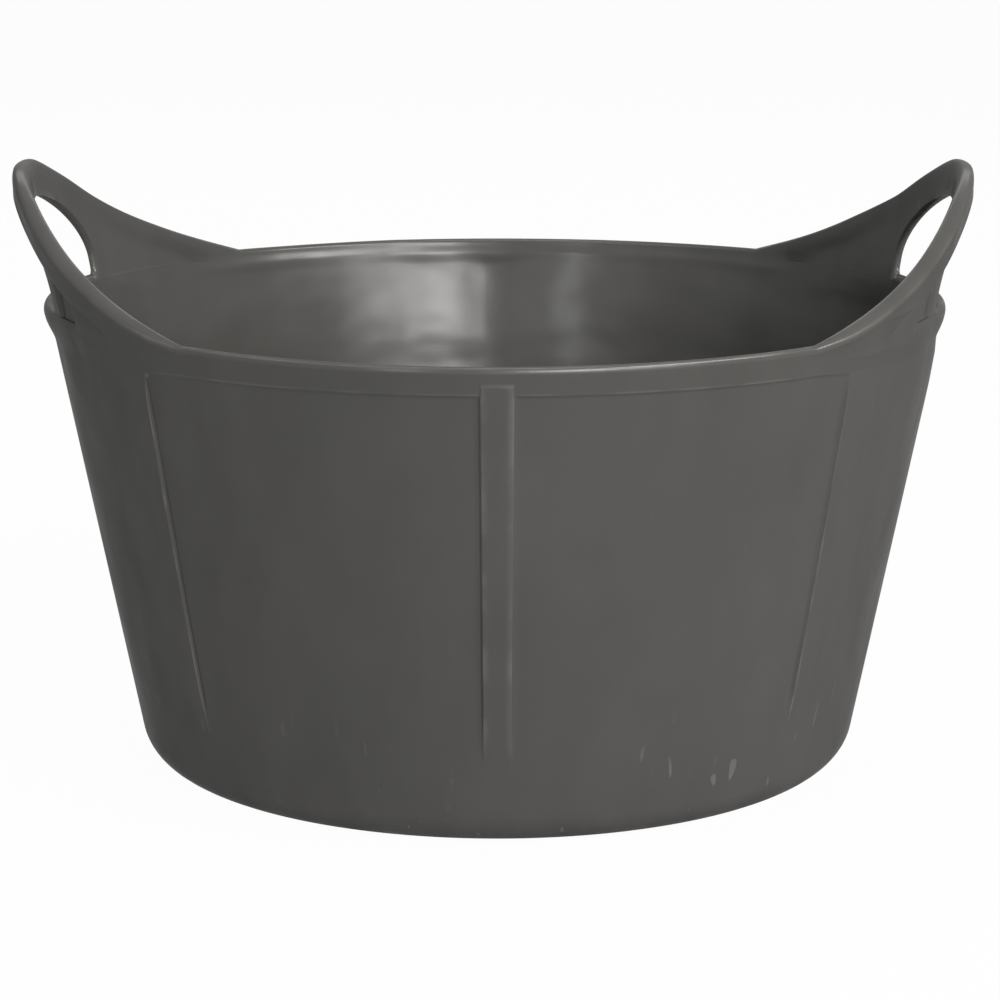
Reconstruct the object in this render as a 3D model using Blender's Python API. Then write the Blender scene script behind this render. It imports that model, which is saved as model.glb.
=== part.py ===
"""Flexible bucket of about 17 litres, moulded in one piece of soft polyethylene.

The one moulding is modelled as its moulded zones: floor, wall, rim, the two hand loops that bend inwards
when the bucket is carried, and the four soft shoulders that bend with them. All sizes are in metres. The
origin is the middle of the base, +Z is up, the handles lie along X and the front of the bucket faces -Y.
"""

import math

import bmesh
import bpy

# Body of the bucket: a cone that is carried on upwards by both handles
RIM_RADIUS = 0.190  # outer radius at the front of the rim
RIM_HEIGHT = 0.198  # top of the rim at the front
RIM_RISE = 0.0035  # how much higher the rim's line lies at the sides
BASE_RADIUS = 0.151  # outer cone carried down to the ground
BASE_FILLET = 0.0182  # outer rounding between the wall and the base
WALL = 0.003
FOOT_RING_WIDTH = 0.017  # flat ring that the bucket stands on
BASE_RECESS = 0.0015  # the middle of the base lies this much higher than the ring

# Rim
RIM_BAND = 0.0108  # height of the thicker band round the mouth
RIM_PROUD = 0.0008  # how far the band stands out from the wall
BEAD_RADIUS = 0.0016
BAND_SLOPE = 0.0008  # height of the slope at the band's lower edge
RIM_MARGIN = 0.0011  # plain wall under the band and the lip that is modelled with the rim
LIP_DROP = 0.0027  # the lip under each hand hole lies this much below the rim's line
LIP_PROUD = 0.0013
LIP_BAND = 0.0142  # height of the lip, from its top down to the wall

# Raised bands down the wall
RIB_ANGLES = (0.0, 49.5, 130.5, 180.0, 229.5, 310.5)  # degrees round from the front
RIB_HALF_ANGLE = 2.1
RIB_EDGE_ANGLE = 0.35  # width of the slope at each side
RIB_PROUD = 0.001
RIB_GROOVE = 0.0004  # the shallow groove behind each band, inside the bucket
RIB_TOP_DROP = 0.007  # below the top of the rim
RIB_FADE_LOW = 0.030
RIB_FADE_HIGH = 0.056

# Handles: the angle is counted from the middle of each handle
EAR_HALF_ANGLE = 50.0  # where the rim starts to climb
EAR_HEIGHT = 0.0533  # above the rim's line
EAR_PROFILE = ((0, 1), (0.14, 0.975), (0.28, 0.85), (0.44, 0.627), (0.6, 0.405), (0.8, 0.174), (1, 0))
HEAD_HEIGHT = 0.0145  # the thick upper part that the hand holds, and the skirt at each side of it
SWELL_ANGLE = 24.0
FLANGE_OUT = 0.003  # how far the handle's edge stands out from the wall's line
GRIP_OUT = 0.0015  # and how much further at the middle of the grip
HEAD_IN = 0.001  # how far the edge stands inwards
WEB_SET_BACK = 0.0005
LEG_PROUD = 0.001  # how far the thicker border of the hand hole stands out
FLANGE_PLATE = 0.0032
FLANGE_EDGE = 0.001  # bevel along the edges of the shoulders
SKIRT = 0.0016
GUSSET_ANGLES = (28.3,)
GUSSET_HALF_ANGLE = 0.22
GUSSET_FOOT_PROUD = 0.001
HOLE_HALF_LENGTH = 0.061
HOLE_MIDDLE_DROP = 0.0483  # the widest level of the hand hole, below the handle's top
HOLE_MARGIN = 0.0003  # between the head's underside and the highest point of the hole
HOLE_TOP_POWER = 1.82  # powers of the two superellipses that make its outline
HOLE_BOTTOM_POWER = 5.0

# Section of the hand loop's head, as shares of its width and height
FLAT_HEAD_ACROSS = (0.0, 0.05, 0.17, 0.62, 0.86, 0.97, 1.0, 1.0, 1.0)
FLAT_HEAD_DOWN = (0.14, 0.06, 0.0, 0.0, 0.0, 0.02, 0.08, 0.6, 1.0)
ROUND_HEAD_ACROSS = (0.01, 0.06, 0.28, 0.55, 0.74, 0.83, 0.92, 1.0, 0.86)
ROUND_HEAD_DOWN = (0.24, 0.10, 0.0, 0.02, 0.10, 0.25, 0.52, 0.84, 1.0)
GRIP_ROUNDING_ANGLE = 14.0

# Where the handles bend
GRIP_HALF_ANGLE = 21.8
LEG_IN_ANGLE = 18.2
SHOULDER_END_ANGLE = 46.0
FLEX_FOOT = 0.004  # height of the soft strip under each leg of the hand loop

GAP = 0.0003  # between zones that meet
STEP_ANGLE = 0.03
COLUMN_STEP = 4.0

SLOPE = (RIM_RADIUS - BASE_RADIUS) / RIM_HEIGHT
LEAN = math.atan(SLOPE)
FILLET_CENTRE = BASE_RADIUS + SLOPE * BASE_FILLET - BASE_FILLET / math.cos(LEAN)
LIP_TOP = RIM_HEIGHT + RIM_RISE - LIP_DROP
WALL_TOP = min(RIM_HEIGHT - RIM_BAND, LIP_TOP - LIP_BAND) - BAND_SLOPE - RIM_MARGIN
FOOT_TOP = LIP_TOP + GAP + FLEX_FOOT
HINGE_Z = LIP_TOP + GAP + FLEX_FOOT / 2
GAP_ANGLE = math.degrees(GAP / RIM_RADIUS)


def cone(z):
    """Outer radius of the wall's cone at height z."""
    return BASE_RADIUS + SLOPE * z


def smooth_step(x):
    x = min(max(x, 0.0), 1.0)
    return x * x * (3 - 2 * x)


def through(points, x):
    """Smooth curve through the points, level at the first one."""
    slopes = [0.0]
    for before, after in zip(points, points[2:]):
        slopes.append((after[1] - before[1]) / (after[0] - before[0]))
    slopes.append((points[-1][1] - points[-2][1]) / (points[-1][0] - points[-2][0]))
    for i, ((x0, y0), (x1, y1)) in enumerate(zip(points, points[1:])):
        if x <= x1:
            break
    width = x1 - x0
    t = (x - x0) / width
    rise = t * t * (3 - 2 * t)
    start = width * slopes[i] * t * (1 - t) ** 2
    end = width * slopes[i + 1] * t * t * (t - 1)
    return y0 + (y1 - y0) * rise + start + end


def from_handle(theta):
    """Angle to the middle of the nearer handle, from an angle counted round from the front."""
    return abs(theta % 180.0 - 90.0)


def rim_line(a):
    return RIM_HEIGHT + RIM_RISE * math.cos(math.radians(a)) ** 2


def ear_top(a):
    a = abs(a)
    if a >= EAR_HALF_ANGLE:
        return rim_line(a)
    return rim_line(a) + EAR_HEIGHT * through(EAR_PROFILE, a / EAR_HALF_ANGLE)


def flange_out(a):
    rising = smooth_step((EAR_HALF_ANGLE - abs(a)) / 10.0)
    middle = smooth_step((SWELL_ANGLE - abs(a)) / SWELL_ANGLE)
    return RIM_PROUD + (FLANGE_OUT - RIM_PROUD) * rising + GRIP_OUT * middle


def rib_at(theta, z):
    """0 off a band, 1 on it."""
    nearest = min(abs((theta - c + 180.0) % 360.0 - 180.0) for c in RIB_ANGLES)
    across = min(max((RIB_HALF_ANGLE + RIB_EDGE_ANGLE - nearest) / RIB_EDGE_ANGLE, 0.0), 1.0)
    return across * smooth_step((z - RIB_FADE_LOW) / (RIB_FADE_HIGH - RIB_FADE_LOW))


def material(name, colour, roughness):
    made = bpy.data.materials.new(name)
    made.use_nodes = True
    shader = made.node_tree.nodes["Principled BSDF"]
    shader.inputs["Base Color"].default_value = (*colour, 1.0)
    shader.inputs["Roughness"].default_value = roughness
    shader.inputs["Metallic"].default_value = 0.0
    return made


def point(theta, radius, z):
    t = math.radians(theta)
    return (radius * math.sin(t), -radius * math.cos(t), z)


def finish_object(name, mesh, colour, roughness, origin=(0, 0, 0)):
    mesh.shade_smooth()
    mesh.set_sharp_from_angle(angle=math.radians(35))
    obj = bpy.data.objects.new(name, mesh)
    obj.data.materials.append(material(name + "_plastic", colour, roughness))
    bpy.context.scene.collection.objects.link(obj)
    obj.location = origin
    return obj


def loft(name, columns, round_trip, origin=(0, 0, 0)):
    """Mesh through columns of points. Each column is a closed outline, and all have as many points."""
    bm = bmesh.new()
    grid = [[bm.verts.new([c - o for c, o in zip(p, origin)]) for p in column] for column in columns]
    rows = len(grid[0])
    pairs = list(zip(grid, grid[1:]))
    if round_trip:
        pairs.append((grid[-1], grid[0]))
    for left, right in pairs:
        for j in range(rows):
            k = (j + 1) % rows
            bm.faces.new((left[j], right[j], right[k], left[k]))
    if not round_trip:
        bm.faces.new(reversed(grid[0]))
        bm.faces.new(grid[-1])
    bmesh.ops.triangulate(bm, faces=bm.faces[:])
    bmesh.ops.recalc_face_normals(bm, faces=bm.faces[:])
    mesh = bpy.data.meshes.new(name)
    bm.to_mesh(mesh)
    bm.free()
    return mesh


def turned(name, profile, segments):
    """Mesh of a profile turned round the Z axis; its first and last points lie on the axis."""
    bm = bmesh.new()
    first = bm.verts.new((0, 0, profile[0][1]))
    last = bm.verts.new((0, 0, profile[-1][1]))
    grid = []
    for i in range(segments):
        theta = 360.0 * i / segments
        grid.append([bm.verts.new(point(theta, r, z)) for r, z in profile[1:-1]])
    for left, right in zip(grid, grid[1:] + grid[:1]):
        bm.faces.new((first, left[0], right[0]))
        bm.faces.new((last, right[-1], left[-1]))
        for j in range(len(left) - 1):
            bm.faces.new((left[j], left[j + 1], right[j + 1], right[j]))
    bmesh.ops.recalc_face_normals(bm, faces=bm.faces[:])
    mesh = bpy.data.meshes.new(name)
    bm.to_mesh(mesh)
    bm.free()
    return mesh


def ring_angles(extra=()):
    """Angles round the bucket: an even step, with columns at both edges of each band."""
    exact = list(extra)
    for c in RIB_ANGLES:
        for side in (-1, 1):
            exact.append(c + side * RIB_HALF_ANGLE)
            exact.append(c + side * (RIB_HALF_ANGLE + RIB_EDGE_ANGLE))
    exact = [angle % 360.0 for angle in exact]
    angles = list(exact)
    for i in range(int(round(360.0 / COLUMN_STEP))):
        angle = i * COLUMN_STEP
        nearest = min(abs((angle - e + 180.0) % 360.0 - 180.0) for e in exact)
        if nearest > COLUMN_STEP * 0.3:
            angles.append(angle)
    return sorted(angles)


def make_floor():
    """Flat disc that stands on a ring at its edge."""
    edge = FILLET_CENTRE
    ring = edge - FOOT_RING_WIDTH
    profile = [
        (0, BASE_RECESS),
        (ring - BASE_RECESS, BASE_RECESS),
        (ring, 0),
        (edge, 0),
        (edge, WALL),
        (ring, WALL),
        (ring / 2, WALL),
        (0, WALL),
    ]
    return finish_object("floor", turned("floor", profile, 72), (0.062, 0.061, 0.056), 0.42)


def wall_outline(theta):
    """Outline of the wall in (radius, height), from the edge of the floor up outside and down inside."""
    outline = []
    start = FILLET_CENTRE + GAP
    outline.append((start, 0.0))
    turns = 5
    for i in range(1, turns + 1):
        angle = math.radians(-90) + (math.radians(90) - LEAN) * i / turns
        outline.append(
            (FILLET_CENTRE + BASE_FILLET * math.cos(angle), BASE_FILLET * (1 + math.sin(angle)))
        )
    levels = (RIB_FADE_LOW, (RIB_FADE_LOW + RIB_FADE_HIGH) / 2, RIB_FADE_HIGH, WALL_TOP)
    for z in levels:
        outline.append((cone(z) + RIB_PROUD * rib_at(theta, z), z))
    for z in reversed(levels):
        outline.append((cone(z) - WALL + RIB_GROOVE * rib_at(theta, z), z))
    inner = BASE_FILLET - WALL
    for i in range(turns, 0, -1):
        angle = math.radians(-90) + (math.radians(90) - LEAN) * i / turns
        outline.append((FILLET_CENTRE + inner * math.cos(angle), BASE_FILLET + inner * math.sin(angle)))
    outline.append((start, WALL))
    return outline


def make_wall():
    columns = []
    for theta in ring_angles():
        columns.append([point(theta, r, z) for r, z in wall_outline(theta)])
    mesh = loft("wall", columns, True)
    return finish_object("wall", mesh, (0.062, 0.061, 0.056), 0.42)


def rim_outline(theta):
    """Outline of the rim in (radius, height): plain bead at the front and back, lip under the handles."""
    a = from_handle(theta)
    on_lip = a < SHOULDER_END_ANGLE
    top = LIP_TOP if on_lip else ear_top(a)
    lip = smooth_step((EAR_HALF_ANGLE - a) / 12.0)
    edge = RIM_PROUD + (LIP_PROUD - RIM_PROUD) * lip
    front_foot = RIM_HEIGHT - RIM_BAND
    foot = front_foot + (LIP_TOP - LIP_BAND - front_foot) * lip
    rib_top = RIM_HEIGHT - RIB_TOP_DROP
    bottom = WALL_TOP + GAP
    # The bead's circle stands as far out as the band below it
    bead = edge - BEAD_RADIUS
    low = RIM_HEIGHT - 2.6 * BEAD_RADIUS
    outline = []
    for z in (bottom, foot - BAND_SLOPE, foot, rib_top):
        band = RIM_PROUD if z >= foot else 0.0
        swell = LIP_PROUD * smooth_step((z - foot + BAND_SLOPE) / (low - foot + BAND_SLOPE))
        rib = RIB_PROUD * rib_at(theta, z)
        outline.append((max(band + (swell - band) * lip, rib), z))
    for z in (rib_top + BAND_SLOPE, low):
        swell = LIP_PROUD * smooth_step((z - foot + BAND_SLOPE) / (low - foot + BAND_SLOPE))
        outline.append((RIM_PROUD + (swell - RIM_PROUD) * lip, z))
    for i in range(7):
        angle = math.radians(-20 + 35 * i)
        out = bead + BEAD_RADIUS * math.cos(angle)
        z = top + BEAD_RADIUS * (math.sin(angle) - 1)
        if on_lip and i > 3:
            # The lip's top is flat under the handle's web
            out = bead - (WALL + bead) * (i - 3) / 3
            z = top
        outline.append((out, z))
    outline.append((-WALL, low))
    outline.append((-WALL + RIB_GROOVE * rib_at(theta, bottom), bottom))
    return [(cone(z) + out, z) for out, z in outline]


def make_rim():
    breaks = []
    for middle in (90.0, 270.0):
        for side in (-1, 1):
            breaks.append(middle + side * SHOULDER_END_ANGLE)
            breaks.append(middle + side * (SHOULDER_END_ANGLE - STEP_ANGLE))
            breaks.append(middle + side * EAR_HALF_ANGLE)
    columns = []
    for theta in ring_angles(breaks):
        columns.append([point(theta, r, z) for r, z in rim_outline(theta)])
    mesh = loft("rim", columns, True)
    return finish_object("rim", mesh, (0.066, 0.065, 0.060), 0.40)


def grip_outline(a):
    """Outline of a hand loop in (radius, height): a thin web with the thick head above it.

    The head has a flat top like the shoulders' at both ends, and a well rounded one in the middle.
    """
    top = ear_top(a)
    out = flange_out(a)
    inside = -WALL - HEAD_IN
    width = out - inside
    rounded = smooth_step((GRIP_HALF_ANGLE - abs(a)) / GRIP_ROUNDING_ANGLE)
    outline = [
        (-WALL - WEB_SET_BACK, FOOT_TOP + GAP),
        (-WALL - WEB_SET_BACK, (FOOT_TOP + top - HEAD_HEIGHT) / 2),
        (-WALL - WEB_SET_BACK, top - HEAD_HEIGHT),
        (inside, top - 0.5 * HEAD_HEIGHT),
    ]
    for flat, domed, drop, domed_drop in zip(
        FLAT_HEAD_ACROSS, ROUND_HEAD_ACROSS, FLAT_HEAD_DOWN, ROUND_HEAD_DOWN
    ):
        across = flat + (domed - flat) * rounded
        down = drop + (domed_drop - drop) * rounded
        outline.append((inside + across * width, top - down * HEAD_HEIGHT))
    outline.extend(
        [
            (LEG_PROUD, top - HEAD_HEIGHT),
            (LEG_PROUD, (FOOT_TOP + top - HEAD_HEIGHT) / 2),
            (LEG_PROUD, FOOT_TOP + GAP),
        ]
    )
    return [(cone(z) + offset, z) for offset, z in outline]


def hole_outline():
    """Outline of a hand hole in (y, z), arched above its widest level and flatter below it."""
    widest = ear_top(0.0) - HOLE_MIDDLE_DROP
    up = ear_top(0.0) - HEAD_HEIGHT - HOLE_MARGIN - widest
    down = widest - LIP_TOP + GAP
    radius = cone(widest) - WALL / 2
    outline = []
    count = 48
    for i in range(count):
        t = 2 * math.pi * i / count
        curve = HOLE_TOP_POWER if math.sin(t) >= 0 else HOLE_BOTTOM_POWER
        along = math.copysign(abs(math.cos(t)) ** (2 / curve), math.cos(t)) * HOLE_HALF_LENGTH
        across = math.copysign(abs(math.sin(t)) ** (2 / curve), math.sin(t))
        z = widest + across * (up if across > 0 else down)
        outline.append((radius * math.sin(along / radius), z))
    return outline


def make_hole_cutter(side, origin):
    near = cone(0) * 0.8
    far = cone(ear_top(0)) * 1.2
    bm = bmesh.new()
    rings = []
    for x in (near, far):
        rings.append([bm.verts.new((side * x - origin[0], y, z - origin[2])) for y, z in hole_outline()])
    count = len(rings[0])
    for i in range(count):
        j = (i + 1) % count
        bm.faces.new((rings[0][i], rings[0][j], rings[1][j], rings[1][i]))
    bm.faces.new(rings[0])
    bm.faces.new(rings[1])
    bmesh.ops.recalc_face_normals(bm, faces=bm.faces[:])
    mesh = bpy.data.meshes.new("hand_hole_cutter")
    bm.to_mesh(mesh)
    bm.free()
    cutter = bpy.data.objects.new("hand_hole_cutter", mesh)
    bpy.context.scene.collection.objects.link(cutter)
    cutter.location = origin
    cutter.hide_render = True
    cutter.display_type = "WIRE"
    return cutter


def hinge_x():
    middle = math.radians((LEG_IN_ANGLE + GRIP_HALF_ANGLE) / 2)
    return (cone(HINGE_Z) + (LEG_PROUD - WALL - WEB_SET_BACK) / 2) * math.cos(middle)


def make_handle(name, side):
    """Hand loop: the part of the handle round the hand hole, which swings about its two legs."""
    origin = (side * hinge_x(), 0.0, HINGE_Z)
    middle = 90.0 * side
    count = 23
    columns = []
    for i in range(count + 1):
        a = GRIP_HALF_ANGLE * (2 * i / count - 1)
        columns.append([point(middle + a, r, z) for r, z in grip_outline(a)])
    mesh = loft(name, columns, False, origin)
    handle = finish_object(name, mesh, (0.070, 0.069, 0.064), 0.38, origin)
    cut = handle.modifiers.new("hand_hole", "BOOLEAN")
    cut.operation = "DIFFERENCE"
    cut.object = make_hole_cutter(side, origin)
    return handle


def shoulder_outline(a):
    """Outline of a shoulder in (radius, height): web, flange on top, and the skirt under its edge."""
    top = ear_top(a)
    out = flange_out(a)
    inside = -WALL - HEAD_IN * smooth_step((EAR_HALF_ANGLE - a) / 10.0)
    bottom = LIP_TOP + GAP
    # Towards the rim the skirt stands on the lip
    skirt_foot = max(top - HEAD_HEIGHT, bottom)
    web_in = -WALL - WEB_SET_BACK
    outline = [
        (web_in, bottom),
        (web_in, (bottom + top) / 2),
        (inside, top - FLANGE_PLATE / 2),
        (inside + FLANGE_EDGE, top),
        (out - FLANGE_EDGE, top),
        (out, top - FLANGE_EDGE),
        (out, skirt_foot),
    ]
    if any(abs(a - g) < GUSSET_HALF_ANGLE * 1.01 for g in GUSSET_ANGLES):
        # The pocket's points move to the gusset's sloping edge, from inside the skirt down to its foot
        start = out - SKIRT * 0.3
        for share in (0.02, 0.3, 0.65, 1.0):
            z = skirt_foot + (bottom - skirt_foot) * share
            outline.append((start + (GUSSET_FOOT_PROUD - start) * share, z))
    else:
        outline.append((out - SKIRT, skirt_foot))
        outline.append((out - SKIRT, top - FLANGE_PLATE))
        outline.append((-WEB_SET_BACK, top - FLANGE_PLATE))
        outline.append((-WEB_SET_BACK, bottom))
    return [(cone(z) + offset, z) for offset, z in outline]


def foot_outline():
    """Outline of the soft strip under a leg of the hand loop, with as many points as a shoulder's."""
    inside = -WALL - WEB_SET_BACK
    bottom = LIP_TOP + GAP
    outline = [(inside, bottom), (inside, (bottom + FOOT_TOP) / 2)]
    count = 7
    for i in range(count):
        outline.append((inside + (LEG_PROUD - inside) * i / (count - 1), FOOT_TOP))
    outline.append((LEG_PROUD, (bottom + FOOT_TOP) / 2))
    outline.append((LEG_PROUD, bottom))
    return [(cone(z) + offset, z) for offset, z in outline]


def shoulder_angles():
    start = GRIP_HALF_ANGLE + GAP_ANGLE
    end = SHOULDER_END_ANGLE - STEP_ANGLE - GAP_ANGLE
    exact = [start, end]
    for g in GUSSET_ANGLES:
        for reach in (GUSSET_HALF_ANGLE, GUSSET_HALF_ANGLE + STEP_ANGLE):
            exact.extend((g - reach, g + reach))
    angles = [angle for angle in exact if start <= angle <= end]
    count = 10
    for i in range(1, count):
        angle = start + (end - start) * i / count
        if min(abs(angle - e) for e in exact) > 0.5:
            angles.append(angle)
    return sorted(angles)


def make_shoulder(name, side, end):
    """Soft stretch between the rim and one side of a hand loop, with the strip under that leg."""
    middle = 90.0 * side
    columns = []
    feet = (LEG_IN_ANGLE, (LEG_IN_ANGLE + GRIP_HALF_ANGLE) / 2, GRIP_HALF_ANGLE + GAP_ANGLE - STEP_ANGLE)
    for a in feet:
        columns.append([point(middle + end * a, r, z) for r, z in foot_outline()])
    for a in shoulder_angles():
        columns.append([point(middle + end * a, r, z) for r, z in shoulder_outline(a)])
    mesh = loft(name, columns, False)
    return finish_object(name, mesh, (0.066, 0.065, 0.060), 0.40)


def main():
    for obj in list(bpy.data.objects):
        bpy.data.objects.remove(obj, do_unlink=True)
    make_floor()
    make_wall()
    make_rim()
    for word, side in (("right", 1), ("left", -1)):
        make_handle(word + "_handle", side)
        # Angles grow round from the front by way of the right side
        make_shoulder(word + "_shoulder_front", side, -side)
        make_shoulder(word + "_shoulder_back", side, side)


main()
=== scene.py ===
import math

import bmesh
import bpy
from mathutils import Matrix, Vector


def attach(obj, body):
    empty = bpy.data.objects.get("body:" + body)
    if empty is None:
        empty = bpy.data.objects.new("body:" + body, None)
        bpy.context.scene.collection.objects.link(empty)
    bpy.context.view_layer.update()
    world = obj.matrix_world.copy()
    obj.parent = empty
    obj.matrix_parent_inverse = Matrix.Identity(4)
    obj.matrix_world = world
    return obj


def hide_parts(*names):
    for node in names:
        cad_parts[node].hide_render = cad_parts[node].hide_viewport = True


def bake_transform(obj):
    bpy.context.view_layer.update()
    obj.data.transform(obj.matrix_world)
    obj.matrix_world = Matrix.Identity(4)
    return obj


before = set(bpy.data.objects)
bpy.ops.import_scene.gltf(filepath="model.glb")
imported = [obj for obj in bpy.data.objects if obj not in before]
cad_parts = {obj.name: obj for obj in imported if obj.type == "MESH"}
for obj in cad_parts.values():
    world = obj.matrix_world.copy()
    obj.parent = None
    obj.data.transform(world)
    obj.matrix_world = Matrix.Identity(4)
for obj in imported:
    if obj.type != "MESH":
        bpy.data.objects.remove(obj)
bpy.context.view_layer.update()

# Sizes of the bucket, in metres; angles are in degrees. theta is counted round from the front to
# the right, and a from the middle of a handle. An offset is a distance outwards from the cone of
# the wall. A FADE is the length or angle over which a form comes or goes.

# The cone, the base and the foot; the rim's RISE is how much higher it is at the handles
RIM_RADIUS = 0.190
RIM_HEIGHT = 0.198
RIM_RISE = 0.0022
BASE_RADIUS = 0.151
BASE_FILLET = 0.0182
FILLET_TURNS = 14
WALL = 0.003
BASE_RECESS = 0.0015
FOOT_RING_WIDTH = 0.017
FOOT_FLAT_MARGIN = 0.003

# The rim band, and the lip under each hand hole
RIM_BAND = 0.0108
RIM_PROUD = 0.0008
BAND_SLOPE = 0.0012
LIP_DROP = 0.0014
LIP_PROUD = 0.0013
LIP_BAND = 0.0142
LIP_SWELL = 0.0095
LIP_END_FADE = 12.0
LIP_CREST = 0.0009
LIP_OUTER_ROUND = 0.0042
LIP_INNER_ROUND = 0.0026
LIP_START = -12
LIP_JOIN_FADE = 0.8
LOBE_PROUD = 0.0009
LOBE_HALF_ANGLE = 20.0
LOBE_FADE = 5.0

# The raised bands of the wall: those at the front and back, which are NEAR their middle within an
# angle, and the side ones, which have one crisp edge
RIB_ANGLES = (0.0, 49.5, 130.5, 180.0, 229.5, 310.5)
RIB_FLAT_ANGLE = 1.78
RIB_FOOT_ANGLE = 2.26
RIB_PROUD = 0.0012
RIB_TOP_DROP = 0.007
RIB_TOP_ROUND = 0.0009
RIB_TOP_FADE = 0.0012
RIB_FADE_LOW = 0.030
RIB_FADE_HIGH = 0.056
RIB_NEAR = 10.0
SIDE_RIB_FLAT = 1.93
SIDE_RIB_FOOT = 2.22
SIDE_RIB_SHIFT = 0.6
SIDE_RIB_SHIFT_LOW = 0.08
SIDE_RIB_SHIFT_FADE = 0.12
SIDE_RIB_FADED = 4.5
SIDE_RIB_TOP_FADE = 0.020

# The inside: the hollow behind a band, the swell below the rim band and the flare above it
SINK_DEPTH = 0.0003
SINK_HALF_ANGLE = 4.4
SINK_FADE = 4.2
SINK_TOP_FADE = 0.006
INNER_BULGE = 0.0006
BULGE_HEIGHT = 0.160
BULGE_WAVE = 0.010
BULGE_WAVES = 7.0
BULGE_TURN = 191.0
BULGE_REACH = 0.026
INNER_SWELL = 0.00014
INNER_SWELL_LOW = 0.1865
INNER_FLARE = 0.00042
INNER_FLARE_LOW = 0.1912
INNER_WAVE_FADE = 0.005
INNER_LOW = 0.193

# The ears: top edge, flange, skirt and pocket
EAR_HALF_ANGLE = 50.0
EAR_HEIGHT = 0.0546
EAR_PROFILE = (
    (0, 1),
    (0.14, 0.975),
    (0.28, 0.85),
    (0.44, 0.627),
    (0.6, 0.405),
    (0.8, 0.174),
    (1, 0),
)
EDGE_STEPS = 3
FLANGE_OUT = 0.003
FLANGE_START = 54.0
FLANGE_FADE = 14.0
FLANGE_EDGE_START = 52.0
FLANGE_EDGE_FADE = 8.0
FLANGE_PLATE = 0.0032
GRIP_OUT = 0.0015
SWELL_ANGLE = 24.0
HEAD_HEIGHT = 0.0145
HEAD_IN = 0.001
HEAD_IN_FADE = 10.0
GRIP_ROUNDING_ANGLE = 14.0
GRIP_HALF_ANGLE = 21.8
SKIRT = 0.0016
SKIRT_ON_LIP = 0.1938
SKIRT_LIP_ANGLE = 35.0
SKIRT_LIP_FADE = 5.0
SKIRT_CURL_ANGLE = 27.5
SKIRT_CURL_FADE = 9.0
SKIRT_CURVE = 0.75
SKIRT_DRAFT = 0.0001
SKIRT_OVER_BAND = 0.00004
CREASE_MARGIN = 0.0002
CROWN_MIDDLE = -0.0011
CROWN_HALF_WIDTH = 0.0019
WEB_OUT = -0.0013
WEB_IN = 0.00005
WEB_IN_FADE = 4.0
LEG_PROUD = 0.0001
LEG_SIDE = 22.05
LEG_SIDE_FADE = 0.6
POCKET_ROWS = 17
POCKET_END = 28.5
POCKET_END_FADE = 0.3
POCKET_SLANT = 2.0
POCKET_SLANT_REACH = 5.0
POCKET_SLANT_ROW = 10
POCKET_SLANT_ROWS = 6
POCKET_FLOOR_DROP = 0.0006
POCKET_CORNER = 0.0012
POCKET_SHOULDER = 0.0004
HEAD_ROWS = 5
HEAD_ROW_SHIFT = 0.6
LEG_FOOT_ROWS = 2
HEAD_HOLLOW = 0.0004
LEG_FOOT = 0.0005
LEG_FOOT_STEP = 0.0004
FILL_LOW = 0.187
FILL_STEP = 0.0008
FILL_STEP_ANGLE = 36.5
FILL_STEP_FADE = 3.0
FILL_EDGE = ((0.3, 0.00015), (0.75, 0.0003), (1.0, 0.0004))
FILL_FACE = 0.0004
FILL_CURVE = 1.7

# Where an ear meets the tub: it runs down inside the lip, and ends inside the plain rim
JOIN_ANGLE = 44.0
JOIN_REACH = 1.0
JOIN_INSET = 0.00025
EAR_SEAM_DROP = 0.0034
EAR_FOOT_DROP = 0.0050
EAR_FOOT_BELOW_FILL = 0.0008
EAR_TAPER_LOW = 0.0009
EAR_TAPER_HIGH = 0.0005
EAR_TAPER_END = 0.0003
EAR_INSIDE_START = 0.0004
EAR_INSIDE_ROWS = 12
EAR_OUTSIDE_BELOW_FILL = 0.0004
EAR_OUTSIDE_DROP = 0.0036
EAR_FOOT_IN = 0.0003
EAR_FOOT_MIDDLE = -0.0012
LEG_FOOT_HEIGHT = 0.0012
LEG_FOOT_IN = 0.0002
HEAD_EASE = 0.35

# The hand holes
HOLE_HALF_LENGTH = 0.061
HOLE_MIDDLE_DROP = 0.0483
HOLE_MARGIN = 0.0003
HOLE_LEVEL = 0.2065
HOLE_POINTS = 120
HOLE_ROUND_IN = 0.0019
HOLE_SPREAD_IN = 0.0029
HOLE_ROUND_OUT = 0.0008
HOLE_TURN = (72, 54, 36, 18, 0)
HOLE_SIDE_SHARE = 0.25
HOLE_SIDE_START = 0.010
HOLE_SIDE_FADE = 0.03
HOLE_ARCH_TOP = 1.02
HOLE_ARCH_FADE = 0.35
HOLE_FOOT_LOW = 0.002
HOLE_FOOT_FADE = 0.003
HOLE_TOP_POWER = 1.82
HOLE_BOTTOM_POWER = 6.5
CUTTER_IN = (0.0080, 0.0004, HOLE_SPREAD_IN * 0.7 + 0.0012)
CUTTER_OUT = (0.0003, 0.012, HOLE_ROUND_OUT * 0.7 + 0.0009)
SHARP_ANGLE = 42

# Columns of points round the tub and round an ear
TUB_STEP = 1.0
TUB_STEP_NEAR = 0.35
TUB_JOIN_COLUMNS = (-1.9, -1.6, -1.3, -1.0, -0.7, -0.35, 0.0, 0.35, 0.7, 1.0)
EAR_STEP = 0.55
EAR_STEP_NEAR = 0.2
LEG_COLUMNS = (21.45, 21.52, 21.6, 21.7, 21.8, 21.9, 21.98, 22.05)
POCKET_COLUMNS = (-0.3, -0.15, -0.1, -0.05, 0.0, 0.05, 0.1, 0.15, 0.3)
EAR_JOIN_COLUMNS = (-0.6, -0.3, 0.0, 0.3, 0.6, 1.0)

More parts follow.
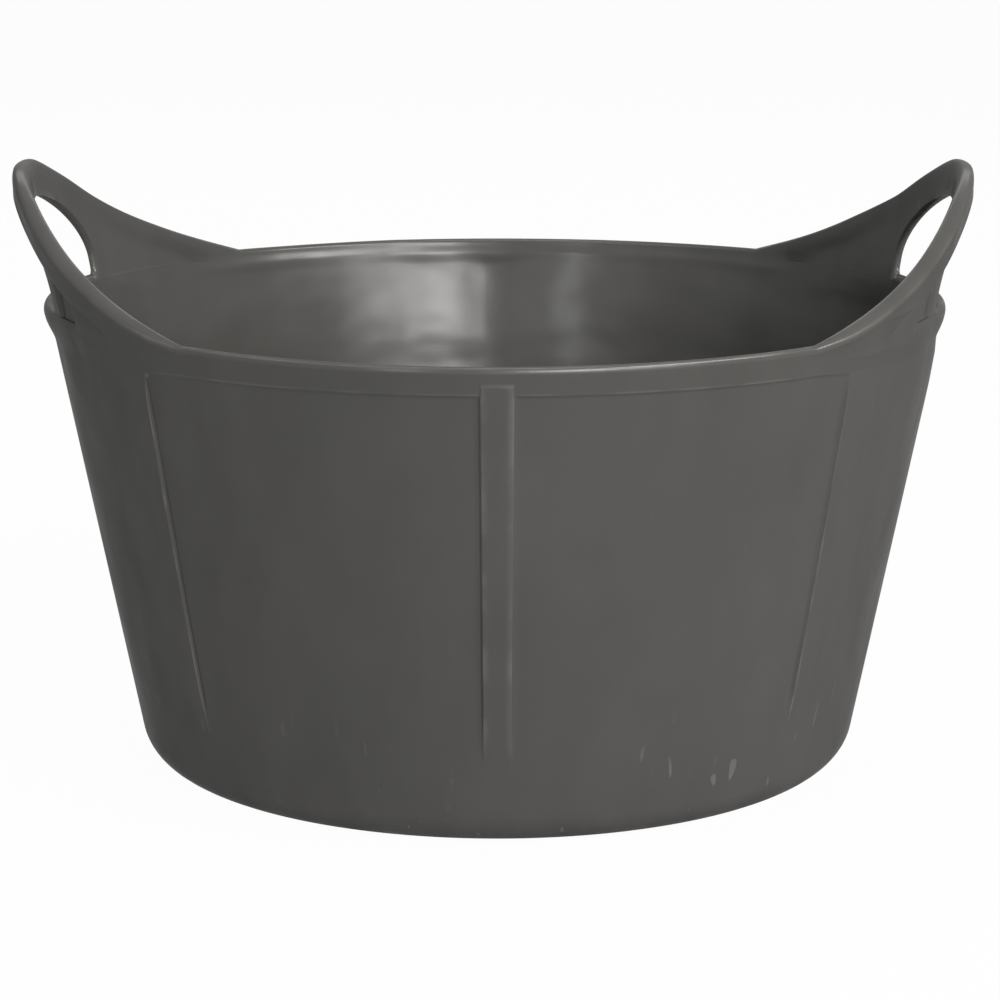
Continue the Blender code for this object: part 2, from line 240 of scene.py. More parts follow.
SLOPE = (RIM_RADIUS - BASE_RADIUS) / RIM_HEIGHT
LEAN = math.atan(SLOPE)
FILLET_CENTRE = BASE_RADIUS + SLOPE * BASE_FILLET - BASE_FILLET / math.cos(LEAN)
FILLET_ANGLES = [
    math.radians(-90) + (math.radians(90) - LEAN) * i / FILLET_TURNS
    for i in range(FILLET_TURNS + 1)
]
LIP_TOP = RIM_HEIGHT + RIM_RISE - LIP_DROP

# Underside in (radius, height), with the small mark in its middle where the mould was filled
UNDERSIDE = (
    (0.0, BASE_RECESS - 0.0007),
    (0.0018, BASE_RECESS - 0.0007),
    (0.0024, BASE_RECESS - 0.0006),
    (0.0028, BASE_RECESS - 0.0001),
    (0.0036, BASE_RECESS),
    (0.012, BASE_RECESS),
    (0.03, BASE_RECESS),
    (0.05, BASE_RECESS),
    (0.07, BASE_RECESS),
    (0.09, BASE_RECESS),
    (0.105, BASE_RECESS),
)
# Inner edge of the foot ring: (distance out from the ring's inner radius, height)
FOOT_RING = (
    (-0.0024, BASE_RECESS),
    (-0.0017, BASE_RECESS - 0.00015),
    (-0.0009, 0.0007),
    (-0.0002, 0.00012),
    (0.0006, 0.0),
    (0.006, 0.0),
)
FLOOR_RADII = (0.128, 0.115, 0.095, 0.07, 0.045, 0.02, 0.006, 0.0)
# Heights of the wall's rows, closer at the foot of the raised bands and at the rim band
WALL_LEVELS = (
    [0.0165, 0.019, 0.022, 0.025, 0.028]
    + [0.030 + 0.0026 * i for i in range(11)]
    + [0.062 + 0.008 * i for i in range(14)]
    + [0.1725, 0.178, 0.1815]
    + [0.1830 + 0.0006 * i for i in range(17)]
)

# Rounded top edge of the rim: (0 from its inner side or 1 from its outer side, distance from that
# side, distance below the top)
EDGE_TOP = (
    (0, 0.0, 0.0019),
    (0, 0.0001, 0.0011),
    (0, 0.0006, 0.0004),
    (0, 0.0013, 0.0),
    (1, 0.0019, 0.0001),
    (1, 0.0010, 0.0006),
    (1, 0.0004, 0.0016),
    (1, 0.0, 0.0028),
)
# The same for the shoulders, whose flange falls away outwards
EDGE_FLANGE = (
    (0, 0.0, 0.0019),
    (0, 0.0001, 0.0010),
    (0, 0.0006, 0.0003),
    (0, 0.0013, 0.0001),
    (1, 0.0032, 0.0007),
    (1, 0.0014, 0.0017),
    (1, 0.0003, 0.0029),
    (1, 0.0, 0.0042),
)
# Head of the hand loop in its middle, from its inner side over the top: (share of its width, share
# of its height down from the top)
ROUND_TOP = (
    (0.01, 0.24),
    (0.04, 0.13),
    (0.13, 0.04),
    (0.28, 0.0),
    (0.50, 0.01),
    (0.70, 0.07),
    (0.80, 0.18),
    (0.86, 0.30),
)
# The head's outer face below it: (share of the height, share of the width)
ROUND_FACE = ((0.42, 0.90), (0.55, 0.93), (0.70, 0.98), (0.84, 1.0), (1.0, 0.86))

# Line under the bead, which runs up on to the skirt of each handle: (a, distance below the top)
CREASE = (
    (27.0, 0.0142),
    (29.0, 0.0131),
    (32.0, 0.0113),
    (34.8, 0.0089),
    (36.7, 0.0069),
    (38.6, 0.0046),
    (39.9, 0.0042),
    (41.1, 0.0039),
    (43.4, 0.0031),
    (45.6, 0.0027),
    (50.0, 0.0024),
)

# How far the right side of this soft bucket rests inwards: (height, distance), and how wide that is
LEAN_IN = (
    (0.165, 0.0),
    (0.178, 0.0005),
    (0.186, 0.0016),
    (0.193, 0.0021),
    (0.215, 0.0028),
    (0.255, 0.0036),
)
LEAN_IN_HALF_ANGLE = 48.0
LEAN_IN_FADE = 40.0

# How much lower the back half of an ear rests at its top edge: (a, distance). Past an angle, the
# right ear's distance is cut by a share.
SAG = (
    (0.0, 0.0),
    (4.0, 0.0003),
    (7.0, 0.0012),
    (11.0, 0.0020),
    (17.0, 0.0024),
    (23.0, 0.0024),
    (30.0, 0.0014),
    (36.0, 0.0006),
    (42.0, 0.0002),
    (50.0, 0.0005),
    (60.0, 0.0005),
    (75.0, 0.0),
)
SAG_FOOT = 0.188
RIGHT_SAG_CUT = 0.75
RIGHT_SAG_ANGLE = 20.0
RIGHT_SAG_FADE = 12.0

# Noises of the plastic: (scale, detail, roughness), and how a noise is stretched in x, y and z
CLOUDS = (11.0, 3.0, 0.55)
RUBBED = (60.0, 4.0, 0.6)
RUBBED_STRETCH = (1.0, 1.0, 0.25)
PATCHES = (42.0, 3.0, 0.5)
SCUFFS = (38.0, 6.0, 0.7)
SCUFFS_STRETCH = (4.0, 4.0, 0.5)
SCRATCHES = (30.0, 1.0, 0.5)
SCRATCHES_STRETCH = (6.0, 6.0, 0.45)
WAVES = (16.0, 2.0, 0.45)
WAVES_STRETCH = (1.0, 1.0, 1.6)
GRAIN = (1500.0, 2.0, 0.5)
# Value at which each effect begins, and at which it is full
EDGE_RANGE = (0.503, 0.535)
PATCH_RANGE = (0.42, 0.60)
SCUFF_RANGE = (0.62, 0.80)
SCRATCH_RANGE = (0.715, 0.74)
LOW_RANGE = (0.060, 0.012)
SEAM_BELOW = (0.1930, 0.1930 - 0.0006)
SEAM_ABOVE = (0.1957, 0.1957 + 0.0008)
GRAZING_RANGE = (0.35, 0.9)
# Shares of the effects: (gain, share at 0) or a gain alone
# Patches in which convex edges turn pale, as rubbed wear and as a painted highlight
PATCH_WEAR_AND_HIGHLIGHT = (0.7, 0.3)
LOW_SCUFFS = (0.7, 0.15)
EDGE_SHARE = 0.5
SCUFF_SHARE = 0.5
ROUGHNESS = (0.3, 0.25)
SCUFF_ROUGHNESS = 0.25
FILM = (-0.16, 0.28)
SCUFF_FILM = -0.12
GRAZING_FILM = (-0.8, 1.0)
# Bumps: (strength, distance)
WAVES_BUMP = (0.5, 0.003)
GRAIN_BUMP = (0.10, 0.00008)
SCUFF_BUMP = (0.3, 0.00005)
SPECULAR_LEVEL = 0.005
COAT_IOR = 2.0
COAT_ROUGHNESS = 0.24
BODY_DARK = (0.0425, 0.043, 0.0405)
BODY_PALE = (0.0555, 0.0542, 0.0515)
# Pale colour of convex edges: partly rubbed wear, partly a painted highlight along the bead and the
# other edges
WEAR_AND_HIGHLIGHT_COLOUR = (0.135, 0.132, 0.125)
SCUFF_COLOUR = (0.16, 0.155, 0.148)

# The stage: the floor lies a GAP under the foot, and is seen as plain WHITE but for a small share
FLOOR_HALF_SIZE = 8.0
FLOOR_GAP = 0.0002
FLOOR_GREY = 0.5
FLOOR_WHITE = 0.975
WORLD_LIGHT = 0.04
WHITE = (1.0, 1.0, 1.0)
KEY_WHITE = (1.0, 0.985, 0.97)
WARM_WHITE = (1.0, 0.97, 0.95)
LAMP_AIM = (0, 0, 0.15)
# Lamps: (name, angle round from the front to the right, angle above the bucket's middle, distance,
# width, height, radiance, colour)
LAMPS = (
    ("key", 18.5, 19.5, 2.6, 0.86, 0.44, 27.5, KEY_WHITE),
    ("shoulder", 37.0, 18.0, 2.6, 0.70, 0.40, 12.5, WARM_WHITE),
    ("wing", 50.0, 33.0, 2.6, 1.8, 0.34, 34.0, WARM_WHITE),
    ("left", -46.0, 42.0, 2.6, 2.0, 0.24, 8.5, WHITE),
    ("fill", -22.0, 16.5, 2.6, 0.18, 0.40, 18.0, WHITE),
    ("top", 0.0, 86.0, 2.6, 1.5, 1.1, 4.5, WHITE),
    ("rear", 180.0, 36.0, 2.8, 3.0, 0.9, 4.5, WHITE),
)
CAMERA_PLACE = (0.0, -1.3777, 0.3964)
CAMERA_TILT = 78.191
CAMERA_SENSOR = 36.0
CAMERA_LENS = 117.3
CAMERA_SHIFT = 0.0027


# ---- Curves and steps ----


def clamp(x):
    return min(max(x, 0.0), 1.0)


def smooth_step(x):
    x = clamp(x)
    return x * x * (3 - 2 * x)


def mix(a, b, share):
    return a + (b - a) * share


def spread(start, end, steps):
    return [mix(start, end, i / steps) for i in range(steps + 1)]


def between(points, x):
    """Straight lines through the points."""
    if x <= points[0][0]:
        return points[0][1]
    for (x0, y0), (x1, y1) in zip(points, points[1:]):
        if x <= x1:
            return mix(y0, y1, (x - x0) / (x1 - x0))
    return points[-1][1]


def through(points, x):
    """Smooth curve through the points, level at the first one."""
    slopes = [0.0]
    for before, after in zip(points, points[2:]):
        slopes.append((after[1] - before[1]) / (after[0] - before[0]))
    slopes.append((points[-1][1] - points[-2][1]) / (points[-1][0] - points[-2][0]))
    for i, ((x0, y0), (x1, y1)) in enumerate(zip(points, points[1:])):
        if x <= x1:
            break
    width = x1 - x0
    t = (x - x0) / width
    rise = t * t * (3 - 2 * t)
    start = width * slopes[i] * t * (1 - t) ** 2
    end = width * slopes[i + 1] * t * t * (t - 1)
    return y0 + (y1 - y0) * rise + start + end


def curve(points, steps):
    """Smooth line through the points, with that many steps between two of them and no loops."""
    ahead = tuple(2 * a - b for a, b in zip(points[0], points[1]))
    behind = tuple(2 * a - b for a, b in zip(points[-1], points[-2]))
    knots = [ahead] + list(points) + [behind]
    line = []
    for group in zip(knots, knots[1:], knots[2:], knots[3:]):
        times = [0.0]
        for p, q in zip(group, group[1:]):
            times.append(times[-1] + max(math.dist(p, q), 1e-9) ** 0.5)
        for k in range(steps):
            t = mix(times[1], times[2], k / steps)
            level = list(group)
            for depth in (1, 2):
                level = [blended(level, times, n, depth, t) for n in range(len(level) - 1)]
            share = (t - times[1]) / (times[2] - times[1])
            line.append(tuple(mix(a, b, share) for a, b in zip(*level)))
    line.append(tuple(points[-1]))
    return line


def blended(level, times, n, depth, t):
    """One step of the curve's scheme: between two points of a level, by their times."""
    share = (t - times[n]) / (times[n + depth] - times[n])
    return tuple(mix(a, b, share) for a, b in zip(level[n], level[n + 1]))


def arc(x, z, radius_x, radius_z, start, end, steps):
    """Points of an ellipse's arc; angles in degrees."""
    points = []
    for angle in spread(start, end, steps):
        t = math.radians(angle)
        points.append((x + radius_x * math.cos(t), z + radius_z * math.sin(t)))
    return points


# ---- Forms that the tub and the ears share ----


def cone(z):
    return BASE_RADIUS + SLOPE * z


def from_handle(theta):
    return abs(theta % 180.0 - 90.0)


def from_band(theta):
    """Angle to the nearer of the front and back bands."""
    return abs((theta + 90.0) % 180.0 - 90.0)


def rim_line(a):
    return RIM_HEIGHT + RIM_RISE * math.cos(math.radians(a)) ** 2


def ear_top(a):
    a = abs(a)
    if a >= EAR_HALF_ANGLE:
        return rim_line(a)
    return rim_line(a) + EAR_HEIGHT * through(EAR_PROFILE, a / EAR_HALF_ANGLE)


def flange_out(a):
    rising = smooth_step((FLANGE_START - abs(a)) / FLANGE_FADE)
    middle = smooth_step((SWELL_ANGLE - abs(a)) / SWELL_ANGLE)
    return RIM_PROUD + (FLANGE_OUT - RIM_PROUD) * rising + GRIP_OUT * middle


def flange(a):
    """1 where the top edge is a shoulder's flange, 0 on the plain rim."""
    return smooth_step((FLANGE_EDGE_START - abs(a)) / FLANGE_EDGE_FADE)


def rounding(a):
    """1 where the top edge is the hand loop's rounded head."""
    return smooth_step((GRIP_HALF_ANGLE - abs(a)) / GRIP_ROUNDING_ANGLE)


def head_in(a):
    return HEAD_IN * smooth_step((EAR_HALF_ANGLE - abs(a)) / HEAD_IN_FADE)


def lip_share(a):
    return smooth_step((EAR_HALF_ANGLE - a) / LIP_END_FADE)


def lip_proud(a):
    """The lip swells further out under the hand hole itself."""
    return LIP_PROUD + LOBE_PROUD * smooth_step((LOBE_HALF_ANGLE - a) / LOBE_FADE)


def inner_wave(a, z):
    """The plain rim's inside swells a little where the thicker band is, and flares above it."""
    swell = INNER_SWELL * smooth_step((z - INNER_SWELL_LOW) / INNER_WAVE_FADE)
    flare = INNER_FLARE * smooth_step((z - INNER_FLARE_LOW) / INNER_WAVE_FADE)
    return (flare - swell) * (1 - lip_share(abs(a)))


def inner_face(a, z):
    """Offset of the inside, which leans in a little towards the top edge of an ear."""
    size = abs(a)
    start = ear_top(size) - EDGE_TOP[0][2]
    low = max(INNER_LOW, ear_top(size) - HEAD_HEIGHT)
    return -WALL - head_in(size) * smooth_step((z - low) / (start - low)) + inner_wave(a, z)


def lean_in(theta, z):
    """How far the right handle, and the rim under it, rest inwards."""
    beside = smooth_step((LEAN_IN_HALF_ANGLE - abs(theta % 360.0 - 90.0)) / LEAN_IN_FADE)
    return beside * between(LEAN_IN, z)


def sag(theta, z):
    """How much lower the back half of each ear, and the rim beside it, rests than the front."""
    if math.cos(math.radians(theta)) >= 0 or z <= SAG_FOOT:
        return 0.0
    a = from_handle(theta)
    if a > SAG[-1][0]:
        return 0.0
    share = (z - SAG_FOOT) / (ear_top(a) - SAG_FOOT)
    drop = max(through(SAG, a), 0.0)
    if math.sin(math.radians(theta)) > 0:
        drop *= 1 - RIGHT_SAG_CUT * smooth_step((a - RIGHT_SAG_ANGLE) / RIGHT_SAG_FADE)
    return drop * smooth_step(share * 0.5) * 2


def point(theta, radius, z):
    t = math.radians(theta)
    x = radius * math.sin(t) - lean_in(theta, z)
    return Vector((x, -radius * math.cos(t), z - sag(theta, z)))


def top_points(a):
    """The top edge, from its inner side over to its outer side."""
    top = ear_top(a)
    inside = -WALL - head_in(a) + inner_wave(a, top)
    out = flange_out(a)
    width = out - inside
    rounded = rounding(a)
    points = []
    for plain, sloped, (across, share) in zip(EDGE_TOP, EDGE_FLANGE, ROUND_TOP):
        reach = mix(plain[1], sloped[1], flange(a))
        x = out - reach if plain[0] else inside + reach
        z = top - mix(plain[2], sloped[2], flange(a))
        x = mix(x, inside + across * width, rounded)
        points.append((x, mix(z, top - share * HEAD_HEIGHT, rounded)))
    return points


def foot_level(a):
    """Lower edge of the skirt; towards the rim it runs down on to the lip."""
    a = abs(a)
    free = ear_top(a) - HEAD_HEIGHT
    on_lip = smooth_step((a - SKIRT_LIP_ANGLE) / SKIRT_LIP_FADE)
    return mix(free, SKIRT_ON_LIP, on_lip)


def face_points(a):
    """Outer face from under the top edge down to the skirt's lower edge, or down to the band."""
    size = abs(a)
    top = ear_top(a)
    out = flange_out(a)
    start = top - mix(EDGE_TOP[-1][2], EDGE_FLANGE[-1][2], flange(a))
    foot = foot_level(a)
    crease = max(top - between(CREASE, size), foot + CREASE_MARGIN)
    crease = min(crease, start - CREASE_MARGIN)
    curl = smooth_step((size - SKIRT_CURL_ANGLE) / SKIRT_CURL_FADE)
    band = mix(RIM_PROUD, LIP_PROUD, lip_share(size))
    at_foot = mix(out - SKIRT_DRAFT, band + SKIRT_OVER_BAND, curl)
    flat = [(out, mix(start, crease, 0.5)), (out, crease)]
    for share in (0.3, 0.62, 1.0):
        flat.append((mix(out, at_foot, share**SKIRT_CURVE), mix(crease, foot, share)))
    rounded = rounding(a)
    inside = -WALL - HEAD_IN
    width = out - inside
    points = []
    for (x, z), (down, across) in zip(flat, ROUND_FACE):
        x = mix(x, inside + across * width, rounded)
        points.append((x, mix(z, top - down * HEAD_HEIGHT, rounded)))
    return points


def crown(a, inset):
    """The top edge and the face below it, drawn in by the inset where another piece covers it."""
    points = curve(top_points(a) + face_points(a), EDGE_STEPS)
    if inset <= 0:
        return points
    drawn = []
    for x, z in points:
        reach = max(min((x - CROWN_MIDDLE) / CROWN_HALF_WIDTH, 1.0), -1.0)
        drawn.append((x - inset * reach, z - inset * (1 - abs(reach) ** 4)))
    return drawn


# ---- The tub: base, wall, rim band, bead and the lips under the hand holes ----


def rib_at(theta, z):
    """0 off a raised band of the wall, 1 on it. A side band has a crisp edge and one that fades."""
    around = theta % 360.0
    middle = min(RIB_ANGLES + (360.0,), key=lambda c: abs(around - c))
    away = abs(around - middle)
    if middle % 180.0 == 0:
        across = smooth_step((RIB_FOOT_ANGLE - away) / (RIB_FOOT_ANGLE - RIB_FLAT_ANGLE))
    elif from_handle(theta) > from_handle(middle):
        away -= SIDE_RIB_SHIFT * smooth_step((z - SIDE_RIB_SHIFT_LOW) / SIDE_RIB_SHIFT_FADE)
        across = smooth_step((SIDE_RIB_FOOT - away) / (SIDE_RIB_FOOT - SIDE_RIB_FLAT))
    else:
        across = smooth_step((SIDE_RIB_FADED - away) / SIDE_RIB_FADED)
    return across * smooth_step((z - RIB_FADE_LOW) / (RIB_FADE_HIGH - RIB_FADE_LOW))


def face_offset(theta, z):
    """Offset of the wall's outer face: raised bands, rim band and the swelling lips."""
    a = from_handle(theta)
    lip = lip_share(a)
    foot = mix(RIM_HEIGHT - RIM_BAND, LIP_TOP - LIP_BAND, lip)
    band = RIM_PROUD * smooth_step((z - foot + BAND_SLOPE) / BAND_SLOPE)
    swell = lip_proud(a) * smooth_step((z - foot + BAND_SLOPE) / (LIP_SWELL + BAND_SLOPE))
    offset = mix(band, swell, lip)
    rib_top = RIM_HEIGHT - RIB_TOP_DROP
    fade = RIB_TOP_FADE if from_band(theta) < RIB_NEAR else SIDE_RIB_TOP_FADE
    rib = RIB_PROUD * rib_at(theta, z) * smooth_step((rib_top + RIB_TOP_ROUND - z) / fade)
    return max(offset, rib)


def bulge(theta, z):
    """Slow inward swell of the inside, which moulding leaves below the thicker band."""
    wave = math.sin(math.radians(BULGE_WAVES * (theta - BULGE_TURN)))
    reach = 1 - ((z - (BULGE_HEIGHT + BULGE_WAVE * wave)) / BULGE_REACH) ** 2
    return -INNER_BULGE * max(reach, 0.0) ** 2


def sink(theta, z):
    """Shallow hollow that the front and back bands leave on the inside."""
    across = smooth_step((SINK_HALF_ANGLE - from_band(theta)) / SINK_FADE)
    return SINK_DEPTH * across * smooth_step((RIM_HEIGHT - RIB_TOP_DROP - z) / SINK_TOP_FADE)


def rim_section(a):
    """Section of the rim in (offset, height), from the face's lower end over and down the inside.

    It is the plain rim's bead, drawn in where it ends inside an ear, or the lip's rounded top.
    """
    inset = JOIN_INSET * smooth_step((JOIN_ANGLE - a) / JOIN_REACH)
    bead = crown(a, inset)[::-1]
    start = bead[-1][1]
    for share in (0.25, 0.5, 0.75):
        z = mix(start, INNER_LOW, share)
        bead.append((inner_face(a, z) + inset, z))
    outer = 2 * len(bead) // 3
    inner = len(bead) - outer - 1
    reach = lip_proud(a) + LIP_CREST
    lip = arc(-LIP_CREST, LIP_TOP - LIP_OUTER_ROUND, reach, LIP_OUTER_ROUND, LIP_START, 90, outer)
    reach = WALL - LIP_CREST
    lip += arc(-LIP_CREST, LIP_TOP - LIP_INNER_ROUND, reach, LIP_INNER_ROUND, 90, 180, inner)[1:]
    on_lip = smooth_step((JOIN_ANGLE - JOIN_REACH - a) / LIP_JOIN_FADE)
    return [(mix(x0, x1, on_lip), mix(z0, z1, on_lip)) for (x0, z0), (x1, z1) in zip(bead, lip)]


def tub_outline(theta):
    """Section of the tub in (radius, height), from the underside's middle to the floor's middle."""
    a = from_handle(theta)
    ring = FILLET_CENTRE - FOOT_RING_WIDTH
    outline = list(UNDERSIDE)
    outline += [(ring + x, z) for x, z in FOOT_RING]
    outline.append((FILLET_CENTRE - FOOT_FLAT_MARGIN, 0.0))
    for angle in FILLET_ANGLES:
        r = FILLET_CENTRE + BASE_FILLET * math.cos(angle)
        outline.append((r, BASE_FILLET * (1 + math.sin(angle))))
    for z in WALL_LEVELS:
        outline.append((cone(z) + face_offset(theta, z), z))
    outline += [(cone(z) + x, z) for x, z in rim_section(a)]
    for z in reversed(WALL_LEVELS):
        r = cone(z) - WALL + inner_wave(a, z) + bulge(theta, z) + sink(theta, z)
        outline.append((r, z))
    inner = BASE_FILLET - WALL
    for angle in reversed(FILLET_ANGLES):
        r = FILLET_CENTRE + inner * math.cos(angle)
        outline.append((r, BASE_FILLET + inner * math.sin(angle)))
    outline += [(r, WALL) for r in FLOOR_RADII]
    return outline


def tub_angles():
    """Even steps round, with close columns at the bands' edges and where the ears start."""
    exact = []
    for c in RIB_ANGLES:
        for side in (-1, 1):
            if c % 180.0 == 0:
                edges = spread(RIB_FLAT_ANGLE, RIB_FOOT_ANGLE, 5)
            elif from_handle(c + side) > from_handle(c):
                edges = spread(SIDE_RIB_FLAT, SIDE_RIB_FOOT + SIDE_RIB_SHIFT, 9)
            else:
                edges = []
            exact += [c + side * edge for edge in edges]
    for middle in (90.0, 270.0):
        for side in (-1, 1):
            for reach in TUB_JOIN_COLUMNS:
                exact.append(middle + side * (JOIN_ANGLE + reach * JOIN_REACH))
    exact = sorted(angle % 360.0 for angle in exact)
    angles = list(exact)
    for i in range(int(round(360.0 / TUB_STEP))):
        angle = i * TUB_STEP
        nearest = min(abs((angle - e + 180.0) % 360.0 - 180.0) for e in exact)
        if nearest > TUB_STEP * TUB_STEP_NEAR:
            angles.append(angle)
    return sorted(angles)


def make_tub():
    bm = bmesh.new()
    angles = tub_angles()
    outlines = [tub_outline(theta) for theta in angles]
    first = bm.verts.new((0, 0, outlines[0][0][1]))
    last = bm.verts.new((0, 0, outlines[0][-1][1]))
    grid = []
    for theta, outline in zip(angles, outlines):
        grid.append([bm.verts.new(point(theta, r, z)) for r, z in outline[1:-1]])
    for left, right in zip(grid, grid[1:] + grid[:1]):
        bm.faces.new((first, left[0], right[0]))
        bm.faces.new((last, right[-1], left[-1]))
        for j in range(len(left) - 1):
            bm.faces.new((left[j], left[j + 1], right[j + 1], right[j]))
    return finish_mesh("tub_shell", bm)


def finish_mesh(name, bm):
    bmesh.ops.recalc_face_normals(bm, faces=bm.faces[:])
    mesh = bpy.data.meshes.new(name)
    bm.to_mesh(mesh)
    bm.free()
    mesh.shade_smooth()
    obj = bpy.data.objects.new(name, mesh)
    bpy.context.scene.collection.objects.link(obj)
    return obj


# ---- The ears: the hand loop with its legs, and the shoulders with their skirt and pocket ----


def pocket_section(out, web_out, foot, roof, bottom):
    """The open pocket, from the skirt's lower edge up, under the flange and down the web."""
    skirt_in = out - SKIRT
    return (
        (out - 0.0003, foot - 0.00022),
        (out - 0.0008, foot - 0.0003),
        (out - 0.0013, foot - 0.00022),
        (skirt_in, foot + 0.0001),
        (skirt_in, mix(foot, roof, 0.33)),
        (skirt_in, mix(foot, roof, 0.66)),
        (skirt_in, roof - POCKET_CORNER),
        (mix(skirt_in, web_out, 0.12), roof - POCKET_SHOULDER),
        (mix(skirt_in, web_out, 0.4), roof),
        (mix(skirt_in, web_out, 0.6), roof),
        (mix(skirt_in, web_out, 0.88), roof - POCKET_SHOULDER),
        (web_out, roof - POCKET_CORNER),
        (web_out, mix(roof, bottom, 0.3)),
        (web_out, mix(roof, bottom, 0.6)),
        (web_out, bottom + 0.0016),
        (web_out + 0.0003, bottom + 0.0007),
        (web_out + 0.0011, bottom),
    )


def leg_point(row, out, web_out, head_foot, bottom):
    """The hand loop's underside, from the head's outer edge in to its leg and down it."""
    if row < HEAD_ROWS:
        share = (row + HEAD_ROW_SHIFT) / (HEAD_ROWS - 1 + HEAD_ROW_SHIFT)
        z = head_foot - HEAD_HOLLOW * math.sin(math.pi * share)
        return mix(out, web_out, share), z
    if row < POCKET_ROWS - LEG_FOOT_ROWS:
        share = (row - HEAD_ROWS + 1) / (POCKET_ROWS - HEAD_ROWS + 1 - LEG_FOOT_ROWS)
        return web_out, mix(head_foot, bottom + LEG_FOOT, share)
    return web_out, bottom - LEG_FOOT_STEP * (row - POCKET_ROWS + LEG_FOOT_ROWS + 1)


def full_point(size, row, out, foot):
    """Past the pocket the wall is full under the skirt, and runs down into the lip."""
    step = FILL_STEP * smooth_step((FILL_STEP_ANGLE - size) / FILL_STEP_FADE)
    edges = len(FILL_EDGE)
    if row < edges:
        across, down = FILL_EDGE[row]
        return out - step * across, foot - down
    share = (row - edges + 1) / (POCKET_ROWS - edges)
    z = mix(foot - FILL_EDGE[-1][1], FILL_LOW, share)
    rise = (z - LIP_TOP + LIP_BAND + BAND_SLOPE) / (LIP_SWELL + BAND_SLOPE)
    lip = LIP_PROUD * lip_share(size) * smooth_step(rise)
    low = lip + mix(FILL_FACE, -FILL_FACE, share)
    return mix(out - step, low, smooth_step(share * FILL_CURVE)), z


def pocket_point(a, row, leg, hollow):
    """One point of the section under the skirt: of the pocket, of the full wall or of a leg."""
    top = ear_top(a)
    foot = foot_level(a)
    web_out = mix(WEB_OUT, LEG_PROUD, leg)
    out = face_points(a)[-1][0]
    bottom = LIP_TOP - POCKET_FLOOR_DROP
    cavity = pocket_section(out, web_out, foot, top - FLANGE_PLATE, bottom)[row]
    under = leg_point(row, out, web_out, top - HEAD_HEIGHT, bottom)
    x, z = full_point(abs(a), row, out, foot)
    x, z = mix(x, cavity[0], hollow), mix(z, cavity[1], hollow)
    return mix(x, under[0], leg), mix(z, under[1], leg)


def ear_outline(a, leg, hollow):
    """Section of an ear as (angle, offset, height).

    leg is 1 on the hand loop, and hollow is 1 where there is a pocket.
    """
    size = abs(a)
    inset = JOIN_INSET * smooth_step((size - JOIN_ANGLE) / JOIN_REACH)
    web = inset - WEB_IN * smooth_step((JOIN_ANGLE - size) / WEB_IN_FADE)
    inside = -WALL + web
    web_out = mix(WEB_OUT, LEG_PROUD, leg)
    seam = LIP_TOP - EAR_SEAM_DROP
    in_lip = LIP_TOP - EAR_FOOT_DROP
    sunk = mix(mix(FILL_LOW - EAR_FOOT_BELOW_FILL, in_lip, hollow), in_lip, leg)
    head = crown(a, inset)
    outline = [(inside + EAR_TAPER_LOW, sunk)]
    outline += [(inside + EAR_TAPER_HIGH, seam - EAR_TAPER_END), (inside, seam)]
    start = head[0][1]
    for z in spread(seam + EAR_INSIDE_START, start, EAR_INSIDE_ROWS)[:-1]:
        outline.append((inner_face(a, z) + web, z))
    # On the hand loop the inside swings out to the head's rounded inner side
    if rounding(a) > 0:
        last = outline[-1]
        gap = head[0][0] - (inner_face(a, start) + web)
        outline[-1] = (last[0] + gap * HEAD_EASE, last[1])
    outline += head
    section = [(a, x, z) for x, z in outline]
    window = smooth_step(1 - abs(size - POCKET_END) / POCKET_SLANT_REACH)
    for row in range(POCKET_ROWS):
        slant = POCKET_SLANT * window * clamp((row - POCKET_SLANT_ROW) / POCKET_SLANT_ROWS)
        shifted = math.copysign(size + slant, a)
        x, z = pocket_point(shifted, row, leg, hollow)
        section.append((shifted, x - inset, z))
    below = mix(FILL_LOW - EAR_OUTSIDE_BELOW_FILL, LIP_TOP - EAR_OUTSIDE_DROP, hollow)
    below = mix(below, sunk + LEG_FOOT_HEIGHT, leg)
    x = mix(min(web_out, 0.0) - EAR_FOOT_IN, -LEG_FOOT_IN, leg)
    section.append((shifted, x, below))
    section.append((mix(a, shifted, 0.5), EAR_FOOT_MIDDLE, sunk))
    return section


def ear_angles():
    """Angles from a handle's middle, closer at the leg's side and the ends of pocket and ear."""
    exact = list(LEG_COLUMNS)
    exact += [POCKET_END + share for share in POCKET_COLUMNS]
    exact += [JOIN_ANGLE + JOIN_REACH * share for share in EAR_JOIN_COLUMNS]
    angles = list(exact)
    for i in range(int(JOIN_ANGLE / EAR_STEP)):
        if min(abs(i * EAR_STEP - e) for e in exact) > EAR_STEP_NEAR:
            angles.append(i * EAR_STEP)
    return sorted(angles)


def ear_loft(name, side):
    middle = 90.0 * side
    positive = ear_angles()
    angles = [-angle for angle in reversed(positive) if angle > 0] + positive
    bm = bmesh.new()
    grid = []
    for a in angles:
        leg = smooth_step((LEG_SIDE - abs(a)) / LEG_SIDE_FADE)
        hollow = smooth_step((POCKET_END - abs(a)) / POCKET_END_FADE + 0.5)
        column = []
        for angle, x, z in ear_outline(a, leg, hollow):
            column.append(bm.verts.new(point(middle + angle, cone(z) + x, z)))
        grid.append(column)
    rows = len(grid[0])
    for left, right in zip(grid, grid[1:]):
        for j in range(rows):
            k = (j + 1) % rows
            bm.faces.new((left[j], right[j], right[k], left[k]))
    bm.faces.new(reversed(grid[0]))
    bm.faces.new(grid[-1])
    return finish_mesh(name, bm)


def signed_power(value, power):
    return math.copysign(abs(value) ** (2 / power), value)


